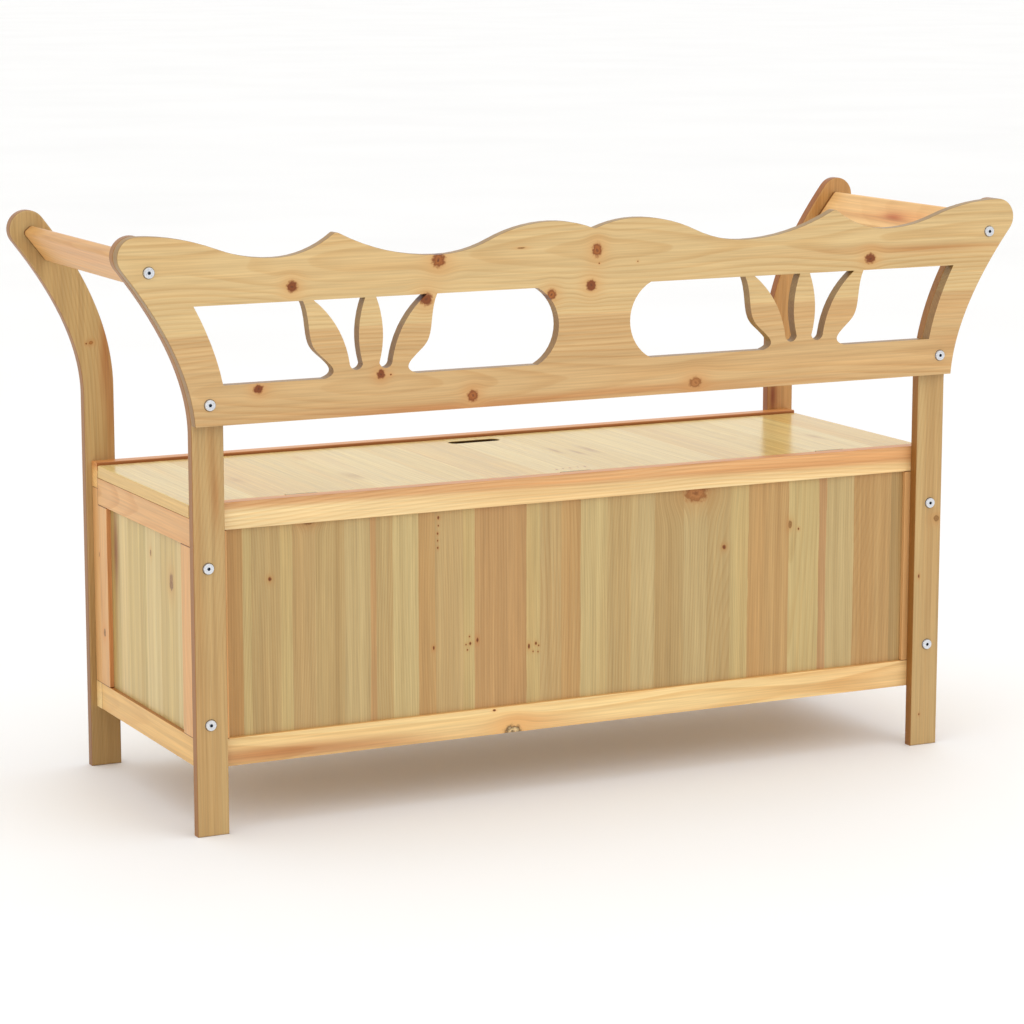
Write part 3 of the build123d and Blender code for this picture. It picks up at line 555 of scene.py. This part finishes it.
    def paint_joint_shadow(self, low, high):
        """Painted shadow lines at the two ends, where the board meets another one."""
        if self.board.ends:
            middle, half = (high + low) / 2, (high - low) / 2
            off_middle = self.math("ABSOLUTE", self.math("SUBTRACT", self.along, middle))
            width = self.board.ends / 1000
            line = self.span(off_middle, half - width, half - width * joint_shadow_core)
            self.shade = self.tinted(line, self.shade, joint_painted_shadow)

    def tone_edges(self):
        """Tint of the faces that aren't planed; on the posts it is partly painted shade."""
        if self.board.face:
            turn = self.math("ABSOLUTE", self.facing[self.board.face])
            planed = self.span(turn, *planed_turn, smooth=True)
            self.shade = self.mix(planed, self.times(self.shade, self.board.edge), self.shade)

    def lacquer(self):
        """Tone, gloss and fine relief of the finished board."""
        roughness = [self.board.gloss + change for change in gloss_change]
        self.give("Base Color", self.shade)
        self.give("Roughness", self.span(self.fibre, *noise_range, *roughness))
        self.give("Specular IOR Level", self.board.shine)
        self.give("Coat Weight", self.board.coat)
        self.give("Coat Roughness", coat_roughness)
        bump = self.nodes.new("ShaderNodeBump")
        bump.inputs["Strength"].default_value = bump_strength
        bump.inputs["Distance"].default_value = bump_height
        late = self.math("MULTIPLY", self.late, late_height)
        self.put(bump.inputs["Height"], self.math("MULTIPLY_ADD", self.fibre, fibre_height, late))
        self.give("Normal", bump.outputs[0])


def metal(name, levels, rough, bumps, socket_shade_depth=0.0):
    """Plated steel with fine mottling, in bumps per metre. For bolts along Y, the last argument is how far
    below the heads, in millimetres, the painted shade inside the hex sockets is full."""
    tree = Tree(name)
    mottle = tree.noise(tree.place.values(), (bumps, bumps, bumps), fine_detail, fine_roughness)
    dark, light = [colour([level * share for level in levels]) for share in (mottle_dark, 1.0)]
    shade = tree.steps(mottle, list(zip(mottle_range, (dark, light))))
    # Painted shade inside the hex sockets, deeper than the heads
    if socket_shade_depth:
        front, rear = reach(name, "Y")
        from_rear = tree.math("SUBTRACT", rear, tree.place["Y"])
        from_front = tree.math("SUBTRACT", tree.place["Y"], front)
        sunk = tree.math("MINIMUM", from_rear, from_front)
        depth = socket_shade_depth / 1000
        shade = tree.tinted(tree.span(sunk, depth / 2, depth), shade, socket_painted_shade)
    tree.give("Base Color", shade)
    tree.give("Roughness", tree.span(mottle, *noise_range, *[rough + change for change in mottle_change]))
    tree.give("Metallic", 1.0)
    return tree.material


def dress(node, material):
    """One material on all of a CAD node."""
    slots = nodes[node].data.materials
    slots.clear()
    slots.append(material)


def wood(node, board):
    """Lacquered fir on a CAD node."""
    dress(node, Fir(node, board).material)


# Posts
post_pith = 410
post = Board("Z", "X", "post", contrast=0.35, ring=4.2, pith_depth=90, flow=0.25, face="Y", edge=post_edge_and_shade)
right_post = replace(post, pith_place=post_pith)
left_post = replace(post, pith_place=-post_pith)
wood("post_front_right", replace(right_post, seed=1.3, knots=front_right_knots, stains=front_right_stains_and_darkening))
wood("post_front_left", replace(left_post, seed=2.3, tone="post_dark", stains=front_left_stains))
wood("post_rear_right", replace(right_post, seed=3.3, stains=rear_right_stains))
wood("post_rear_left", replace(left_post, seed=4.3, knots=rear_left_knots))

# Armrests and backrest
armrest = Board(
    "Y", "Z", "armrest", contrast=0.4, ring=5.0, pith_depth=90, pith_place=640, flow=0.5, ends=5,
)
wood("armrest_left", replace(armrest, seed=6.2, tone="armrest_far", stains=armrest_left_stains))
wood("armrest_right", replace(armrest, seed=7.2, stains=armrest_right_stains))
wood("backrest_board", Board(
    "X", "Z", "straw", seed=9.1, strips=back_strips, strip_end=740, spread=-0.25, knots=back_knots,
    stains=back_stains, contrast=0.6, ring=4.4, pith_depth=40, pith_place=503, streaks=0.6, face="Y",
    edge=back_edge,
))

# Front and rear frames of the chest
# Painted shade on the front top rail's face towards +Y, above the lid
front_painted_shade_start = 398
top_rail = Board(
    "X", "Z", "rail", strips=top_rail_bands, strip_end=425, slant=0.012, contrast=0.8, ring=4.4,
    pith_depth=50, pith_place=280, flow=0.5, face="Y", edge=rail_edge,
)
wood("rear_top_rail", replace(top_rail, seed=11.4))
wood("front_top_rail", replace(top_rail, seed=13.6, painted_gap_shade=(front_painted_shade_start, front_rail_painted_shade)))
bottom_rail = Board("X", "Z", "rail_low", ring=5.0)
wood("rear_bottom_rail", replace(
    bottom_rail, seed=12.5, knots=bottom_rail_knots, stains=bottom_rail_stains, contrast=0.85,
    pith_depth=30, pith_place=96, face="Y", edge=rail_edge,
))
wood("front_bottom_rail", replace(
    bottom_rail, seed=14.7, contrast=0.5, pith_depth=50, pith_place=90, flow=0.4,
))
long_panel = Board("Z", "X", "khaki", strip_end=496, blend=0.25, ring=3.4, flow=0.25)
wood("rear_panel", replace(long_panel, seed=41.5, strips=rear_strips, knots=rear_knots))
wood("front_panel", replace(long_panel, seed=43.2, strips=front_strips))

# Side frames, and the stiles of the front and rear frames
side_rail = Board(
    "Y", "Z", "rail_side", contrast=0.6, ring=4.5, flow=0.4, face="X", edge=side_rail_edge, ends=1,
)
side_stile = Board(
    "Z", "Y", "rail_side", contrast=0.5, ring=4.5, flow=0.45, face="X", edge=stile_edge, ends=1,
)
long_stile = Board("Z", "X", "rail_side", contrast=0.4, ring=4.5, flow=0.45, ends=1)
side_panel = Board(
    "Z", "Y", "side_straw", strips=side_strips, strip_end=134, knots=side_knots, stains=side_stains,
    contrast=0.55, ring=4.0,
)
for number, (side, outside) in enumerate((("left", -500), ("right", 500))):
    later = 2 * number
    wood(f"{side}_top_rail", replace(side_rail, seed=17.3 + later, pith_place=370))
    wood(f"{side}_bottom_rail", replace(side_rail, seed=18.3 + later, tone="rail_side_low", pith_place=100))
    wood(f"{side}_stile_front", replace(side_stile, seed=23.7 + later, knots=stile_knots, pith_place=-160))
    wood(f"{side}_stile_rear", replace(side_stile, seed=24.7 + later, pith_place=160))
    wood(f"front_stile_{side}", replace(long_stile, seed=29.9 + later, pith_place=outside))
    wood(f"rear_stile_{side}", replace(long_stile, seed=30.9 + later, pith_place=outside))
    wood(f"{side}_panel", replace(side_panel, seed=35.1 + number))

# Lid
# Finger slot, with painted shade on its walls
finger_slot = (-141, 0, 14, 44)
wood("lid_panel", Board(
    "Y", "X", "cream", seed=47.6, strips=lid_strips, strip_end=528, knots=lid_knots, stains=lid_stains,
    contrast=0.2, ring=6.0, flow=0.25, streaks=0.5, gloss=0.2, coat=0.0, shine=0.14, face="Z",
    edge=lid_edge, hollow=finger_slot,
))

# Boards inside the chest
inside = (
    "lid_batten_front", "lid_batten_rear", "lid_ledge_front", "lid_ledge_rear", "floor_cleat_front",
    "floor_cleat_rear", "chest_floor",
)
plain = Board("X", "Y", "plain", contrast=0.4, ring=5.0, pith_depth=50, gloss=0.5, coat=0.0)
for number, node in enumerate(inside):
    wood(node, replace(plain, seed=51.3 + number, pith_place=100 - 40 * number))
wood("frame_dowels", Board("Z", "X", "plain", seed=61.0, contrast=0.3, gloss=0.5, coat=0.0))

# Fasteners
for node in ("chest_bolts", "armrest_bolts_front", "armrest_bolts_rear", "backrest_bolts"):
    dress(node, metal(node, bolt_zinc, rough=0.24, bumps=900, socket_shade_depth=1.6))
dress("backrest_cap_nuts", metal("backrest_cap_nuts", cap_nut_zinc, rough=0.24, bumps=900))
nut_metal = metal("nut_steel", nut_steel, rough=0.4, bumps=700)
for node in ("barrel_nuts", "armrest_inserts"):
    dress(node, nut_metal)
hinge_metal = metal("hinge_steel", hinge_steel, rough=0.36, bumps=600)
hinge_nodes = (
    "hinge_leaves_fixed", "hinge_leaves_moving", "hinge_pins", "hinge_screws_fixed", "hinge_screws_moving",
)
for node in hinge_nodes:
    dress(node, hinge_metal)

# Floor
floor_size = 400
floor_greys = ((0.3, 0.93), (0.7, 0.96))
floor_roughness = 0.7
bpy.ops.mesh.primitive_plane_add(size=floor_size, location=(0, 0, 0))
floor = bpy.context.object
floor.name = "floor"
floor_tree = Tree("floor")
cloud = floor_tree.noise((floor_tree.place["X"], floor_tree.place["Y"], 0.0))
floor_tree.give("Base Color", floor_tree.greys(cloud, floor_greys))
floor_tree.give("Roughness", floor_roughness)
floor.data.materials.append(floor_tree.material)

# Light
sky_colour = (1.0, 0.995, 0.985, 1.0)
sky_strength = 1.05
world = bpy.data.worlds.new("studio")
bpy.context.scene.world = world
world.use_nodes = True
sky = world.node_tree.nodes["Background"]
sky.inputs["Color"].default_value = sky_colour
sky.inputs["Strength"].default_value = sky_strength


def lamp(name, place, aim, size, power):
    """Rectangular soft light at a place, turned to its aim."""
    data = bpy.data.lights.new(name, "AREA")
    data.shape = "RECTANGLE"
    data.size, data.size_y = size
    data.energy = power
    item = bpy.data.objects.new(name, data)
    item.location = place
    item.rotation_euler = (Vector(aim) - Vector(place)).to_track_quat("-Z", "Y").to_euler()
    bpy.context.scene.collection.objects.link(item)


lamp("key", place=(-1.6, 3.4, 2.9), aim=(0, 0, 0.4), size=(2.4, 2.0), power=16)
lamp("fill", place=(3.4, 1.2, 2.0), aim=(0, 0, 0.4), size=(2.0, 2.0), power=4)
lamp("top", place=(0.0, 0.2, 3.6), aim=(0, 0, 0.3), size=(3.0, 2.0), power=10)

# Camera
camera_data = bpy.data.cameras.new("camera")
camera_data.lens = camera_lens
camera_data.sensor_width = camera_sensor
camera = bpy.data.objects.new("camera", camera_data)
turn, tilt = math.radians(camera_azimuth), math.radians(camera_elevation)
back = Vector((math.sin(turn) * math.cos(tilt), -math.cos(turn) * math.cos(tilt), math.sin(tilt)))
camera.location = camera_place
camera.rotation_euler = back.to_track_quat("Z", "Y").to_euler()
bpy.context.scene.collection.objects.link(camera)
bpy.context.scene.camera = camera
bpy.context.scene.view_settings.view_transform = "Standard"
